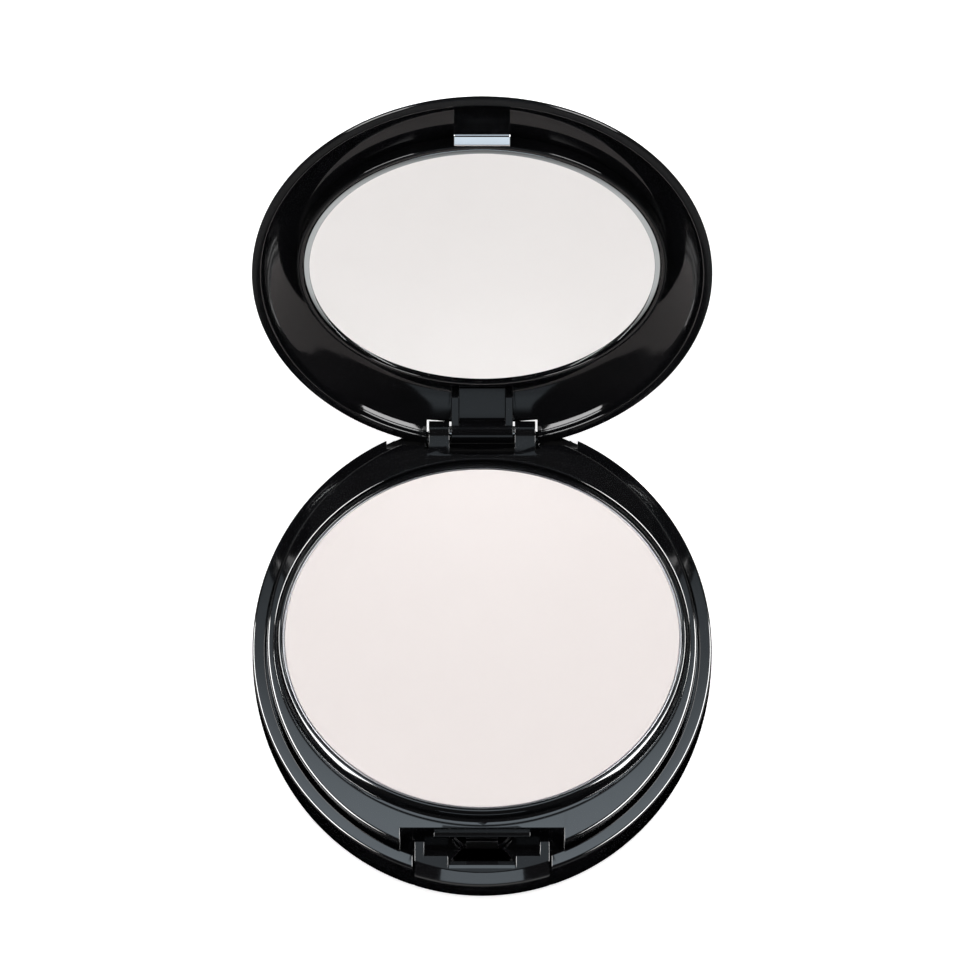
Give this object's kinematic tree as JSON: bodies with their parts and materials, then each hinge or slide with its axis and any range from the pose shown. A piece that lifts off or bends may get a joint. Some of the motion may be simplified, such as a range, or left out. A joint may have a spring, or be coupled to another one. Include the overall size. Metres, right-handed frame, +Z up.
{
  "type": "powder compact",
  "caption": "Oval hinged cosmetic compact holding a round pan of pressed powder and a round mirror, opened by a push button at the front.",
  "frame": {"origin": "centre of the lower case's outline, on the surface it rests on", "axes": "+Z up out of the powder, +Y towards the hinge, +X to the right seen from the push button"},
  "size_m": [0.067, 0.0908, 0.0851],
  "materials": {
    "case_black": "polished black moulded plastic",
    "deck_black": "polished black moulded plastic",
    "lid_black": "polished black moulded plastic",
    "button_black": "polished black moulded plastic",
    "pan_metal": "drawn aluminium, satin",
    "powder": "matte pressed powder, very pale pink",
    "adhesive": "soft pan glue",
    "tape": "foam tape",
    "mirror_glass": "silvered glass with a ground edge",
    "clip_steel": "bright folded strip",
    "spring_steel": "spring steel",
    "pin_steel": "drawn steel wire"
  },
  "bodies": {
    "case": {"base_shell": "case_black", "deck_frame": "deck_black", "powder_pan": "pan_metal", "pressed_powder": "powder", "pan_adhesive": "adhesive", "button_spring": "spring_steel", "hinge_pin_left": "pin_steel", "hinge_pin_right": "pin_steel"},
    "button": {"push_button": "button_black"},
    "lid": {"lid_shell": "lid_black", "mirror_seat": "lid_black", "mirror_tape": "tape", "mirror": "mirror_glass", "latch_clip": "clip_steel"}
  },
  "joints": [
    {"name": "lid_hinge", "type": "hinge", "parent": "case", "child": "lid", "pos_m": [0, 0.0362, 0.0104], "axis": [1, 0, 0], "range_deg": [0, 98.5]},
    {"name": "button_press", "type": "slide", "parent": "case", "child": "button", "axis": [0, 1, 0], "range_m": [0, 0.001], "stiffness_N_per_m": 600, "deforming": ["button_spring"]}
  ]
}
